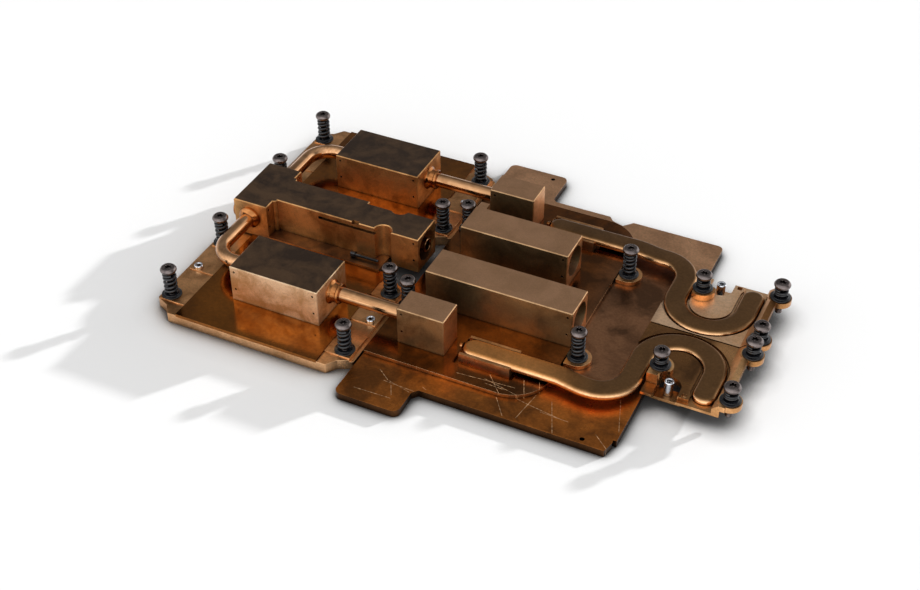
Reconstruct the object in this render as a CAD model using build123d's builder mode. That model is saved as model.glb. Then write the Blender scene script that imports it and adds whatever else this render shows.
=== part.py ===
from build123d import *
from math import cos, pi, sin
import os

os.makedirs("parts", exist_ok=True)

# Liquid cold plate, millimetres. +X runs along the long side, from the manifold towards
# the end plates, +Z is up. The origin lies on the floor under the centre of the assembly.
# Front means -Y and rear means +Y. Most pieces come in pairs, mirrored across the XZ plane.

# Sides of what is round but small or repeated
head_facets = 12
tube_facets = 16            # tubes, their sockets, collars, ferrules and plugs
fine_facets = 8             # shanks, screw holes, seats, clips and hidden passages
pin_facets = 6

# Levels above the floor
top_level = 22.8            # flush tops of all the coolant blocks
port_level = 15.2           # axis of every coolant port and tube
head_top = 19.9             # tops of all the screw heads

# Left plates
left_length = 94.3
left_width = 62.6
line_y = 45.8               # each plate, its block, its tubes and its pad lie on this line
base_t = 4.8                # base plate, at its ledges
cover_t = 1.5
cover_seat = 0.8            # depth of the channel that the cover lies in
ledge_w = 13.4              # low ledge at each end of a plate, beside its cover
land_h = 0.45               # raised lands under the screws and nuts
land_length = 8.4
land_side = 1.2             # from a land to the edge of its ledge
rebate_w = 1.7              # low strip along the right edge
rebate_depth = 0.9
corner_cut = [(0, 7.2), (6.0, 4.4), (9.2, 0)]
corner_r = 1.0
screw_inset_left = 4.4      # screw axes from the left and right edges of the plate
screw_inset_right = 6.0
screw_half_y = 20.2         # screw axes either side of the line
nut_inset = 4.8             # nut axes from the left and right edges

# Coolant passages
tube_d = 6.35
tube_wall = 0.8
tube_fit = 0.05             # radial gap of a tube in its socket
socket_depth = 4.0
well_inset = 7.5            # axis of a vertical well from the face of its block
channel_w = 2.1
channel_pitch = 4.2
channel_count = 5
channel_depth = 1.8
plenum_w = 3.0
plenum_h = 2.0

# Blocks over the left plates
block_inset = 29.6          # from the left edge of the plates
block_length = 42.0
block_width = 24.2
edge_break = 0.35           # small chamfer on machined edges
pin_hole_d = 1.1
pin_hole_depth = 2.5
pin_inset = 2.2             # from the end of a block
pin_upper = 20.3            # levels of the pin holes
pin_lower = 11.4

# Manifold between the left plates
manifold_inset = 5.4        # from the left edge of the plates
manifold_end_gap = 1.4      # from the right edge of the plates
manifold_head_length = 16.6
manifold_head_width = 31.0
manifold_bar_width = 16.6
manifold_flange_t = 1.1
manifold_flange_length = 55.1
manifold_port_inset = 8.8   # elbow ports, from the right face of the head
manifold_pin_inset = 1.8
corner_bead_r = 1.6
pocket_r = 4.05
pocket_inset = 17.0         # pocket and scallop, from the right end of the bar
groove_length = 28.7
groove_inset = 20.2
groove_h = 1.5
groove_depth = 1.4
groove_level = 19.9
notch_w = 3.5
notch_inset = 28.6
notch_depth = 1.3
recess_w = 12.2
recess_inset = 19.6
recess_depth = 1.8
plug_y = 10.5
plug_level = 14.9
plug_d = 8.8
plug_h = 2.6
plug_stem_d = 5.0
plug_stem_length = 4.0
clamp_d = 1.5
clamp_head_d = 2.6
clamp_head_h = 2.2
clamp_length = 11.3
clamp_inset = 17.8          # tip, from the right end of the bar
clamp_gap = 1.9             # from the bar to the head

# Ports for hoses and fittings
port_d = 13.8
port_depth = 9.0
port_axis_level = 14.8
stub_reach = 0.6            # inlet tube beyond the right face of the manifold
spigot_d = 5.5              # turned end of the inlet tube, in its socket

# Middle plates
plate_gap = 0.7             # between the left plates and the middle plates
lower_t = 3.4
lower_length = 111.6
lower_front = 73.2          # front and rear edges from the centre line
lower_rear = 68.4
wing_length = 28.4
wing_reach = 88.3
wing_r = 3.0
rear_wing_extra = 0.6       # the rear wing is longer by this
front_relief = [(0, 2.4), (2.0, 0)]     # cut corner beside the front wing
rear_relief = [(0, 1.8), (1.8, 0)]      # cut corner beside the rear wing
front_notch = [(2.6, 0), (1.3, 5.2), (1.6, 7.0), (0, 7.0)]      # from the front right corner
rear_notch = [(42.6, 0), (46.4, 4.2), (51.8, 2.6), (53.9, 0)]   # from the rear right corner
rear_corner_r = 2.6
small_hole_d = 2.0
front_hole = (12.5, 2.5)    # from the right and front edges
wing_hole = (22.5, 3.7)     # from the left edge and the tip of the rear wing
upper_t = 1.8
upper_half = 62.9
upper_corner_r = 17.0
window_gap = 2.0            # round a pipe pad
seat_pad_h = 0.3            # raised pads under the middle screws
screw_pad_r = 3.7
boss_r = 5.9
boss_reach = 3.9            # from the screw axis to the flat left side of its boss
groove_w = 4.0
groove_margin = 6.0         # from the line of the screws, and of the blocks, to a groove
groove_end_gap = 8.0        # from the right screws to a groove
coolant_groove_depth = 1.6

# Blocks over the middle plates
small_gap = 10.2            # from the left edge of the middle plates to the small blocks
mid_gap = 9.9               # and to the long ones
small_length = 21.2
small_width = 13.1
mid_length_front = 66.2
mid_length_rear = 50.2
mid_width = 16.8
mid_y = 17.1
lug_length = 4.2            # low lug behind the rear long block
lug_width = 5.2
lug_drop = 1.2

# Heat pipes: round pipes pressed flat, each with a level route
pipe_t = 3.6
pipe_w = 9.8
pipe_edge = 1.05            # chamfers that stand for the round sides
pipe_bottom = 6.0
pipe_inset = 37.3           # tip of the left end, from the left edge of the middle plates
pipe_fit = 0.08
jog_inset = 42.5            # from the tip to the jog
jog_length = 10.0
jog_y = 1.8
jog_r = 20.0
arm_inset = 4.4             # from the end plate's left edge to the first arm of the bend
arm_span = 29.8             # between the two arms
arm_r = 12.6
bend_y = 21.5               # centre of the bend, from the centre line
pipe_end_y = 37.4           # tip of the other end, from the centre line
tail_d = 2.2                # sealed filling stub on the left end of a pipe
tail_length = 1.8
pad_inset = 0.6             # from the tip of the pipe
pad_length = 22.3
pad_w = 12.4
pad_top = 8.7

# End plates
end_inset = 100.9           # from the left edge of the middle plates
end_margin = 10.1           # from the second arm of the bend to the right edge
end_bottom = 6.0
end_base_top = 8.7
end_top = 11.8              # seats of the end screws
end_gap = 0.7               # between the two end plates
end_y = 40.0                # outer edges from the centre line
slot_gap = 0.9              # between a pipe and the walls of its slot
rail_w = 6.1                # raised rail along the right edge
rail_reach = 2.0            # of the rail beyond the wall below it
slope_w = 3.4
seat_pad_w = 4.4
seat_pad_y = 33.4
seat_r = 5.4
ear_r = 4.8
ear_t = 2.5
ear_offset = 0.6            # outer screw axes, from the right edge of the end plates
outer_screws_y = [5.1, 34.7]
inner_screw_inset = 13.6    # from the left edge of the end plates
inner_screw_y = 26.7
standoff_offset = 0.5       # from the middle of the bend
standoff_y = 33.6
standoff_d = 3.9
standoff_bore = 2.0
standoff_bottom = 3.1
standoff_top = 11.1
cutout_r = 5.0
tray_t = 1.3                # floor of the tray that holds the standoff
tray_wall = 1.2
tray_back = 31.2            # edges of the tray from the centre line
tray_front = 37.4
key_inset = 7.1             # small square hole, from the second arm of the bend
key_y = 36.7
key_w = 2.0
lip_top = 7.2               # low wall along the front edge
lip_y = 38.2                # back of the lip beside the small square hole
standoff_fit = 0.03         # radial gap of a standoff in its tray

# Captive screws, each with a spring, a spring seat and a retaining clip
middle_screw_inset = 4.0    # from the left edge of the middle plates
middle_screw_span = 76.7
middle_screw_y = 29.8
screw_d = 3.0
shank_d = 2.6               # waist of the screw above its thread, where the clip sits
screw_gap = 0.3             # radial, screw in its seat and in its plate
head_d = 7.1
head_h = 2.9
head_bevel = 0.7
drive_d = 3.0
drive_depth = 1.4
plate_screw_tip = 1.8       # lower ends of the screws in the flat plates
end_screw_tip = 3.7         # lower ends of the screws in the end plates
seat_d = 8.6
seat_t = 1.0
wire = 0.85
spring_d = 5.9              # outside diameter
tall_turn_count = 5
short_turn_count = 3
spring_points = 5           # straight lengths in a turn
spring_gap = 0.12           # above and below the wire
clip_d = 7.0
clip_mouth = 2.2            # opening that snaps over the waist
clip_t = 0.6
clip_gap = 0.15             # below what the screw passes
thread_gap = 0.1            # from the clip to the thread below it
clip_fit = 0.05             # radial, clip on the waist of its screw
clip_room = 0.35            # radial, clip in its counterbore
counterbore_depth = 3.0

# Small parts
nut_d = 3.9
nut_bore = 2.0
nut_top = 6.9
collar_d = 10.6
collar_t = 2.0
collar_hub_d = 8.6
collar_hub_t = 2.6
ferrule_d = 10.0
ferrule_t = 2.5
elbow_r = 11.0

# Derived levels and places
cover_top = base_t - cover_seat + cover_t
land_top = base_t + land_h
upper_top = lower_t + upper_t
middle_seat = upper_top + seat_pad_h
end_length = arm_inset + arm_span + end_margin
overall_length = left_length + plate_gap + end_inset + end_length + ear_offset + ear_r
left_x = -overall_length / 2
left_end = left_x + left_length
middle_x = left_end + plate_gap
cover_x = left_x + ledge_w
cover_end = left_end - ledge_w
cover_length = cover_end - cover_x
block_x = left_x + block_inset
block_end = block_x + block_length
small_x = middle_x + small_gap
mid_x = middle_x + mid_gap
manifold_x = left_x + manifold_inset
head_end = manifold_x + manifold_head_length
bar_end = left_end - manifold_end_gap
port_x = head_end - manifold_port_inset
flange_top = cover_top + manifold_flange_t
tube_bore = tube_d - 2 * tube_wall
pipe_level = pipe_bottom + pipe_t / 2
pipe_x = middle_x + pipe_inset
jog_x = pipe_x + jog_inset
pad_x = pipe_x + pad_inset
end_x = middle_x + end_inset
end_right = end_x + end_length
arm_x = end_x + arm_inset
standoff_x = arm_x + arm_span / 2 + standoff_offset
key_x = arm_x + arm_span - key_inset
middle_screw_left = middle_x + middle_screw_inset
middle_screw_right = middle_screw_left + middle_screw_span
well_left = block_x + well_inset
well_right = block_end - well_inset
plenum_length = channel_pitch * (channel_count - 1) + channel_w
head_bottom = head_top - head_h
plate_screws_x = (left_x + screw_inset_left, left_end - screw_inset_right)
sides = {"front": -1, "rear": 1}
BOTTOM = (Align.CENTER, Align.CENTER, Align.MIN)
TOP = (Align.CENTER, Align.CENTER, Align.MAX)


def finish(builder, label):
    """Label a finished piece and write it to its own file."""
    builder.part.label = label
    export_step(builder.part, f"parts/{label}.step")


def finish_pair(builder, label):
    """Write a front piece, and its mirror image as the rear piece."""
    finish(builder, f"front_{label}")
    with BuildPart() as rear_piece:
        mirror(builder.part, about=Plane.XZ)
    finish(rear_piece, f"rear_{label}")


def break_edges(builder):
    """Chamfer the upright corner edges of a block and the edges of its top."""
    upright = builder.edges().filter_by(Axis.Z)
    top = builder.faces().sort_by(Axis.Z)[-1].edges()
    chamfer(list(upright) + list(top), edge_break)


def front_face(y):
    """The plane of a face that looks to the front, with sketches in X and Z."""
    return Plane(origin=(0, y, 0), x_dir=(1, 0, 0), z_dir=(0, -1, 0))


def side_face(x, y=0, z=0, way=1):
    """A plane that looks along +X, or along -X where way is -1."""
    return Plane(origin=(x, y, z), z_dir=(way, 0, 0))


def pin_holes(places, levels):
    """Draw small locating holes in a sketch on a face."""
    with Locations(*[(place, level) for place in places for level in levels]):
        RegularPolygon(pin_hole_d / 2, pin_facets)


def pipe_section(gap=0):
    """Draw the flattened section of a heat pipe, widened all round by a gap."""
    outline = Rectangle(pipe_w + 2 * gap, pipe_t + 2 * gap)
    chamfer(outline.vertices(), pipe_edge)


def bore_down(x, y, z, diameter, length):
    """Drill downwards from a point."""
    with Locations((x, y, z)):
        Cylinder(diameter / 2, length, align=TOP, mode=Mode.SUBTRACT)


# Left base plate, with ledges, lands, coolant channels and screw holes
front_y = -line_y
screw_hole_steps = (
    (screw_d + 2 * screw_gap, middle_seat),
    (clip_d + 2 * clip_room, counterbore_depth),
)
with BuildPart() as left_base:
    with BuildSketch() as base_outline:
        with Locations((left_x + left_length / 2, front_y)):
            Rectangle(left_length, left_width)
        for mx, my in ((1, 1), (1, -1), (-1, 1), (-1, -1)):
            corner_x = left_x if mx == 1 else left_end
            corner_y = front_y - my * left_width / 2
            with BuildLine():
                Polyline(
                    (corner_x, corner_y),
                    *[(corner_x + mx * px, corner_y + my * py) for px, py in corner_cut],
                    close=True,
                )
            make_face(mode=Mode.SUBTRACT)
        fillet(base_outline.vertices(), corner_r)
    extrude(amount=base_t)
    ledges = (
        (left_x + land_side, cover_x),
        (cover_end, left_end - rebate_w),
    )
    with BuildSketch(Plane.XY.offset(base_t)):
        for x0, x1 in ledges:
            for y in (front_y - screw_half_y, front_y + screw_half_y):
                with Locations(((x0 + x1) / 2, y)):
                    Rectangle(x1 - x0, land_length)
            with Locations(((x0 + x1) / 2, front_y + land_length / 2 - nut_d / 2)):
                Rectangle(x1 - x0, land_length)
    extrude(amount=land_h)
    with BuildSketch(Plane.XY.offset(base_t)):
        with Locations((left_end - rebate_w / 2, front_y)):
            Rectangle(rebate_w, left_width)
    extrude(amount=-rebate_depth, mode=Mode.SUBTRACT)
    with BuildSketch(Plane.XY.offset(base_t - cover_seat)):
        with Locations(((cover_x + cover_end) / 2, front_y)):
            Rectangle(cover_length, left_width)
    extrude(amount=cover_seat + land_h, mode=Mode.SUBTRACT)
    with BuildSketch(Plane.XY.offset(base_t - cover_seat)):
        with Locations(((well_left + well_right) / 2, front_y)):
            with GridLocations(0, channel_pitch, 1, channel_count):
                Rectangle(well_right - well_left, channel_w)
        with Locations((well_left, front_y), (well_right, front_y)):
            Rectangle(plenum_w, plenum_length)
    extrude(amount=-channel_depth, mode=Mode.SUBTRACT)
    screw_places = [
        (x, y) for x in plate_screws_x for y in (front_y - screw_half_y, front_y + screw_half_y)
    ]
    for diameter, depth in screw_hole_steps:
        with BuildSketch():
            with Locations(*screw_places):
                RegularPolygon(diameter / 2, fine_facets)
        extrude(amount=depth, mode=Mode.SUBTRACT)
    with BuildSketch():
        with Locations(*[(x, front_y) for x in (left_x + nut_inset, left_end - nut_inset)]):
            RegularPolygon(nut_bore / 2, fine_facets)
    extrude(amount=land_top, mode=Mode.SUBTRACT)
finish_pair(left_base, "left_base")

# Cover over the coolant channels
with BuildPart() as left_cover:
    with BuildSketch(Plane.XY.offset(base_t - cover_seat)):
        with Locations(((cover_x + cover_end) / 2, front_y)):
            Rectangle(cover_length, left_width)
        with Locations((well_left, front_y), (well_right, front_y)):
            Rectangle(plenum_w, plenum_length, mode=Mode.SUBTRACT)
    extrude(amount=cover_t)
finish_pair(left_cover, "left_cover")

# Tall nuts on the ledges
with BuildPart() as left_nuts:
    with BuildSketch(Plane.XY.offset(land_top)):
        with Locations(*[(x, front_y) for x in (left_x + nut_inset, left_end - nut_inset)]):
            Circle(nut_d / 2)
            RegularPolygon(nut_bore / 2, 6, mode=Mode.SUBTRACT)
    extrude(amount=nut_top - land_top)
finish_pair(left_nuts, "left_nuts")

# Coolant blocks over the left plates, with two wells down to the channels
for side, sign in sides.items():
    y = sign * line_y
    with BuildPart() as block:
        with BuildSketch(Plane.XY.offset(cover_top)):
            with Locations((block_x + block_length / 2, y)):
                Rectangle(block_length, block_width)
        extrude(amount=top_level - cover_top)
        break_edges(block)
        with BuildSketch(Plane.XY.offset(cover_top)):
            with Locations((well_left, y), (well_right, y)):
                Rectangle(plenum_w, plenum_length)
        extrude(amount=plenum_h, mode=Mode.SUBTRACT)
        with BuildSketch(Plane.XY.offset(port_level)):
            with Locations((well_left, y), (well_right, y)):
                RegularPolygon(tube_bore / 2, fine_facets)
        extrude(amount=cover_top - port_level, mode=Mode.SUBTRACT)
        for face_x, way in ((block_x, -1), (block_end, 1)):
            with BuildSketch(side_face(face_x, y, port_level, way)):
                RegularPolygon(tube_bore / 2, fine_facets)
            extrude(amount=-well_inset, mode=Mode.SUBTRACT)
            with BuildSketch(side_face(face_x, y, port_level, way)):
                RegularPolygon(tube_d / 2 + tube_fit, tube_facets)
            extrude(amount=-socket_depth, mode=Mode.SUBTRACT)
        with BuildSketch(front_face(y - block_width / 2)):
            pin_holes((block_x + pin_inset, block_end - pin_inset), (pin_upper, pin_lower))
        extrude(amount=-pin_hole_depth, mode=Mode.SUBTRACT)
    finish(block, f"{side}_block")

# Manifold: a wide head, a long bar and a thin flange that lies on both covers
bar_half = manifold_bar_width / 2
head_half = manifold_head_width / 2
pocket_x = bar_end - pocket_inset
with BuildPart() as manifold:
    with BuildSketch(Plane.XY.offset(cover_top)):
        with Locations((manifold_x + manifold_head_length / 2, 0)):
            Rectangle(manifold_head_length, manifold_head_width)
        with Locations(((head_end + bar_end) / 2, 0)):
            Rectangle(bar_end - head_end, manifold_bar_width)
        with Locations((head_end, bar_half), (head_end, -bar_half)):
            Circle(corner_bead_r)
        with Locations((pocket_x, -bar_half), (pocket_x, bar_half + recess_depth / 2)):
            Circle(pocket_r, mode=Mode.SUBTRACT)
        with Locations((bar_end - recess_inset - recess_w / 2, bar_half - recess_depth / 2)):
            Rectangle(recess_w, recess_depth, mode=Mode.SUBTRACT)
    extrude(amount=top_level - cover_top)
    chamfer(manifold.faces().sort_by(Axis.Z)[-1].edges(), edge_break)
    with BuildSketch(Plane.XY.offset(cover_top)):
        with Locations((head_end + manifold_flange_length / 2, 0)):
            Rectangle(manifold_flange_length, manifold_head_width)
    extrude(amount=manifold_flange_t)
    groove_x = bar_end - groove_inset - groove_length / 2
    with Locations((groove_x, -bar_half, groove_level)):
        Box(groove_length, 2 * groove_depth, groove_h, mode=Mode.SUBTRACT)
    notch_x = bar_end - notch_inset - notch_w / 2
    with Locations((notch_x, -bar_half, top_level)):
        Box(notch_w, 2 * notch_depth, 2 * notch_depth, mode=Mode.SUBTRACT)
    with BuildSketch(Plane(origin=(port_x, -head_half, port_level), z_dir=(0, 1, 0))):
        RegularPolygon(tube_bore / 2, fine_facets)
    extrude(amount=manifold_head_width, mode=Mode.SUBTRACT)
    with BuildSketch(side_face(port_x, 0, port_axis_level)):
        RegularPolygon(tube_bore / 2, fine_facets)
    extrude(amount=bar_end - port_x, mode=Mode.SUBTRACT)
    for sign in sides.values():
        with BuildSketch(
            Plane(origin=(port_x, sign * head_half, port_level), x_dir=(0, 0, 1), z_dir=(0, sign, 0))
        ):
            RegularPolygon(tube_d / 2 + tube_fit, tube_facets)
        extrude(amount=-socket_depth, mode=Mode.SUBTRACT)
    with BuildSketch(side_face(manifold_x, 0, plug_level)):
        with Locations((0, plug_y), (0, -plug_y)):
            RegularPolygon(plug_stem_d / 2, fine_facets)
    extrude(amount=port_x - manifold_x, mode=Mode.SUBTRACT)
    pin_y = head_half - manifold_pin_inset
    with BuildSketch(Plane(origin=(head_end, 0, 0), x_dir=(0, 1, 0), z_dir=(1, 0, 0))):
        pin_holes((-pin_y, pin_y), (pin_upper, pin_lower))
    extrude(amount=-pin_hole_depth, mode=Mode.SUBTRACT)
    with BuildSketch(side_face(bar_end, 0, port_axis_level)) as port_face:
        Circle(port_d / 2)
    extrude(amount=-port_depth, mode=Mode.SUBTRACT)
    with BuildSketch(port_face.workplanes[0].offset(-port_depth)):
        RegularPolygon(spigot_d / 2 + tube_fit, tube_facets)
    extrude(amount=-socket_depth, mode=Mode.SUBTRACT)
    with BuildSketch(front_face(-bar_half)):
        pin_holes((bar_end - pin_inset,), (pin_upper, pin_lower))
    extrude(amount=-pin_hole_depth, mode=Mode.SUBTRACT)
finish(manifold, "centre_manifold")

# Domed plugs that close the ends of the drilled passages
with BuildPart() as plugs:
    for sign in sides.values():
        outward = side_face(manifold_x, sign * plug_y, plug_level, -1)
        with BuildSketch(outward):
            RegularPolygon(plug_d / 2, tube_facets)
        extrude(amount=plug_h)
        with BuildSketch(outward):
            RegularPolygon(plug_stem_d / 2 - tube_fit, fine_facets)
        extrude(amount=-plug_stem_length)
    domes = plugs.faces().sort_by(Axis.X)[0:2]
    chamfer([edge for face in domes for edge in face.edges()], plug_h / 2)
finish(plugs, "manifold_plugs")

# Inlet tube in the port at the right end of the manifold, with a spigot in its socket
with BuildPart() as inlet_tube:
    inlet_plane = side_face(bar_end - port_depth, 0, port_axis_level)
    with BuildSketch(inlet_plane):
        Circle(tube_d / 2)
    extrude(amount=port_depth + stub_reach)
    with BuildSketch(inlet_plane):
        RegularPolygon(spigot_d / 2, tube_facets)
    extrude(amount=-socket_depth)
    with BuildSketch(inlet_plane.offset(-socket_depth)):
        RegularPolygon(tube_bore / 2, fine_facets)
    extrude(amount=socket_depth + port_depth + stub_reach, mode=Mode.SUBTRACT)
finish(inlet_tube, "inlet_tube")

# Small socket head screw that lies on the flange along the bar
with BuildPart() as clamp_screw:
    with BuildSketch(
        Plane(
            origin=(
                bar_end - clamp_inset - clamp_length,
                -bar_half - clamp_gap - clamp_head_d / 2,
                flange_top + clamp_head_d / 2 + tube_fit,
            ),
            z_dir=(-1, 0, 0),
        )
    ) as clamp_face:
        Circle(clamp_head_d / 2)
    extrude(amount=clamp_head_h)
    with BuildSketch(clamp_face.workplanes[0]):
        Circle(clamp_d / 2)
    extrude(amount=-clamp_length)
    with BuildSketch(clamp_face.workplanes[0].offset(clamp_head_h)):
        RegularPolygon(clamp_d / 2, 6)
    extrude(amount=-clamp_head_h / 2, mode=Mode.SUBTRACT)
finish(clamp_screw, "clamp_screw")

# Elbow tube from the head of the manifold to the block beside it
with BuildPart() as elbow_tube:
    with BuildLine() as elbow_line:
        FilletPolyline(
            (port_x, -head_half + socket_depth),
            (port_x, front_y),
            (block_x + socket_depth, front_y),
            radius=elbow_r,
        )
    elbow_route = elbow_line.line.moved(Location((0, 0, port_level)))
    with BuildSketch(Plane(origin=elbow_route @ 0, x_dir=(0, 0, 1), z_dir=elbow_route % 0)):
        RegularPolygon(tube_d / 2, tube_facets)
        RegularPolygon(tube_bore / 2, fine_facets, mode=Mode.SUBTRACT)
    sweep(path=elbow_route)
finish_pair(elbow_tube, "elbow_tube")

# Ferrule where the elbow tube enters the manifold
with BuildPart() as ferrule:
    with BuildSketch(
        Plane(origin=(port_x, -head_half, port_level), x_dir=(0, 0, 1), z_dir=(0, -1, 0))
    ):
        RegularPolygon(ferrule_d / 2, tube_facets)
        RegularPolygon(tube_d / 2 + tube_fit, tube_facets, mode=Mode.SUBTRACT)
    extrude(amount=ferrule_t)
    chamfer(ferrule.faces().sort_by(Axis.Y)[0].outer_wire().edges(), ferrule_t / 3)
finish_pair(ferrule, "elbow_ferrule")

# Straight link tube from a left block to the small block
with BuildPart() as link_tube:
    with BuildSketch(side_face(block_end - socket_depth, front_y, port_level)):
        RegularPolygon(tube_d / 2, tube_facets)
        RegularPolygon(tube_bore / 2, fine_facets, mode=Mode.SUBTRACT)
    extrude(amount=small_x + 2 * socket_depth - block_end)
finish_pair(link_tube, "link_tube")

# Collar of the link tube, a flange with a hub
with BuildPart() as collar:
    for diameter, length in ((collar_d, collar_t), (collar_hub_d, collar_t + collar_hub_t)):
        with BuildSketch(side_face(block_end, front_y, port_level)):
            RegularPolygon(diameter / 2, tube_facets)
            RegularPolygon(tube_d / 2 + tube_fit, tube_facets, mode=Mode.SUBTRACT)
        extrude(amount=length)
finish_pair(collar, "link_collar")

# Lower plate, with a wing at each left corner and a groove for the coolant at each side
lower_end = middle_x + lower_length
wing_end = middle_x + wing_length
rear_wing_end = wing_end + rear_wing_extra
plate_outline = (
    (middle_x, -wing_reach),
    (wing_end, -wing_reach),
    *[(wing_end + px, -lower_front - py) for px, py in front_relief],
    *[(lower_end - px, -lower_front + py) for px, py in front_notch],
    (lower_end, lower_rear),
    *[(lower_end - px, lower_rear - py) for px, py in rear_notch],
    *[(rear_wing_end + px, lower_rear + py) for px, py in reversed(rear_relief)],
    (rear_wing_end, wing_reach),
    (middle_x, wing_reach),
)
small_well_x = small_x + well_inset
mid_well_x = mid_x + well_inset
groove_end = middle_screw_right - groove_end_gap
middle_screws = [
    (x, sign * middle_screw_y)
    for x in (middle_screw_left, middle_screw_right)
    for sign in sides.values()
]
with BuildPart() as lower_plate:
    with BuildSketch() as lower_outline:
        with BuildLine():
            Polyline(*plate_outline, close=True)
        make_face()
        wing_corners = lower_outline.vertices().filter_by(
            lambda v: abs(v.Y) > (lower_front + wing_reach) / 2
        )
        fillet(wing_corners, wing_r)
        rear_corner = lower_outline.vertices().group_by(Axis.X)[-1].sort_by(Axis.Y)[-1]
        fillet(rear_corner, rear_corner_r)
    extrude(amount=lower_t)
    for sign in sides.values():
        screw = (middle_screw_right, sign * middle_screw_y)
        with BuildSketch(Plane.XY.offset(lower_t)):
            with Locations(screw):
                Circle(boss_r)
                Rectangle(boss_r, 2 * boss_r, align=(Align.MAX, Align.CENTER))
            with Locations((middle_screw_right - boss_reach, sign * middle_screw_y)):
                Rectangle(
                    boss_r, 2 * boss_r, align=(Align.MAX, Align.CENTER), mode=Mode.SUBTRACT
                )
        extrude(amount=middle_seat - lower_t)
        with BuildSketch(Plane.XY.offset(lower_t)):
            with BuildLine():
                Polyline(
                    (small_well_x, sign * line_y),
                    (small_well_x, sign * (middle_screw_y + groove_margin)),
                    (groove_end, sign * (middle_screw_y + groove_margin)),
                    (groove_end, sign * (mid_y + groove_margin)),
                    (mid_well_x, sign * (mid_y + groove_margin)),
                    (mid_well_x, sign * mid_y),
                )
                offset(amount=groove_w / 2)
            make_face()
        extrude(amount=-coolant_groove_depth, mode=Mode.SUBTRACT)
    for diameter, depth in screw_hole_steps:
        with BuildSketch():
            with Locations(*middle_screws):
                RegularPolygon(diameter / 2, fine_facets)
        extrude(amount=depth, mode=Mode.SUBTRACT)
    bore_down(
        lower_end - front_hole[0], -lower_front + front_hole[1], lower_t, small_hole_d, lower_t
    )
    bore_down(middle_x + wing_hole[0], wing_reach - wing_hole[1], lower_t, small_hole_d, lower_t)
finish(lower_plate, "lower_plate")

# Upper plate, a lid on the coolant grooves with a window for each pipe pad
mid_end_front = mid_x + mid_length_front
with BuildPart() as upper_plate:
    with BuildSketch(Plane.XY.offset(lower_t)) as upper_outline:
        with Locations(((middle_x + mid_end_front) / 2, 0)):
            Rectangle(mid_end_front - middle_x, 2 * upper_half)
        fillet(upper_outline.vertices().group_by(Axis.X)[-1], upper_corner_r)
        for sign in sides.values():
            with Locations((pad_x + pad_length / 2, sign * line_y)):
                Rectangle(
                    pad_length + 2 * window_gap,
                    pad_w + 2 * window_gap,
                    mode=Mode.SUBTRACT,
                )
            with Locations(
                (small_well_x, sign * line_y),
                (mid_well_x, sign * mid_y),
            ):
                RegularPolygon(tube_bore / 2, fine_facets, mode=Mode.SUBTRACT)
    extrude(amount=upper_t)
    for sign in sides.values():
        with Locations((middle_screw_left, sign * middle_screw_y, upper_top)):
            Cylinder(screw_pad_r, seat_pad_h, align=BOTTOM)
    with BuildSketch(Plane.XY.offset(lower_t)):
        with Locations(*middle_screws[:2]):
            RegularPolygon(screw_d / 2 + screw_gap, fine_facets)
    extrude(amount=middle_seat - lower_t, mode=Mode.SUBTRACT)
finish(upper_plate, "upper_plate")

# Small blocks at the ends of the link tubes, each with a well down to its groove
for side, sign in sides.items():
    y = sign * line_y
    with BuildPart() as small_block:
        with BuildSketch(Plane.XY.offset(upper_top)):
            with Locations((small_x + small_length / 2, y)):
                Rectangle(small_length, small_width)
        extrude(amount=top_level - upper_top)
        break_edges(small_block)
        with BuildSketch(Plane.XY.offset(port_level)):
            with Locations((small_well_x, y)):
                RegularPolygon(tube_bore / 2, fine_facets)
        extrude(amount=upper_top - port_level, mode=Mode.SUBTRACT)
        with BuildSketch(side_face(small_x, y, port_level)):
            RegularPolygon(tube_bore / 2, fine_facets)
        extrude(amount=well_inset, mode=Mode.SUBTRACT)
        with BuildSketch(side_face(small_x, y, port_level)):
            RegularPolygon(tube_d / 2 + tube_fit, tube_facets)
        extrude(amount=socket_depth, mode=Mode.SUBTRACT)
        with BuildSketch(front_face(y - small_width / 2)):
            pin_holes((small_x + pin_inset,), (pin_upper, pin_lower))
        extrude(amount=-pin_hole_depth, mode=Mode.SUBTRACT)
    finish(small_block, f"small_{side}_block")

# Long middle blocks with the outlet ports in their right ends
for side, sign in sides.items():
    y = sign * mid_y
    length = mid_length_front if side == "front" else mid_length_rear
    with BuildPart() as mid_block:
        with BuildSketch(Plane.XY.offset(upper_top)):
            with Locations((mid_x + length / 2, y)):
                Rectangle(length, mid_width)
        extrude(amount=top_level - upper_top)
        break_edges(mid_block)
        if side == "rear":
            with BuildSketch(Plane.XY.offset(upper_top)):
                with Locations((mid_x + lug_length / 2, y + mid_width / 2 + lug_width / 2)):
                    Rectangle(lug_length, lug_width)
            extrude(amount=top_level - lug_drop - upper_top)
        with BuildSketch(Plane.XY.offset(port_axis_level)):
            with Locations((mid_well_x, y)):
                RegularPolygon(tube_bore / 2, fine_facets)
        extrude(amount=upper_top - port_axis_level, mode=Mode.SUBTRACT)
        with BuildSketch(side_face(mid_well_x, y, port_axis_level)):
            RegularPolygon(tube_bore / 2, fine_facets)
        extrude(amount=mid_x + length - mid_well_x, mode=Mode.SUBTRACT)
        with BuildSketch(side_face(mid_x + length, y, port_axis_level)):
            Circle(port_d / 2)
        extrude(amount=-port_depth, mode=Mode.SUBTRACT)
        with BuildSketch(front_face(y - mid_width / 2)):
            pin_holes((mid_x + length - pin_inset,), (pin_upper, pin_lower))
        extrude(amount=-pin_hole_depth, mode=Mode.SUBTRACT)
    finish(mid_block, f"mid_{side}_block")


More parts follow.
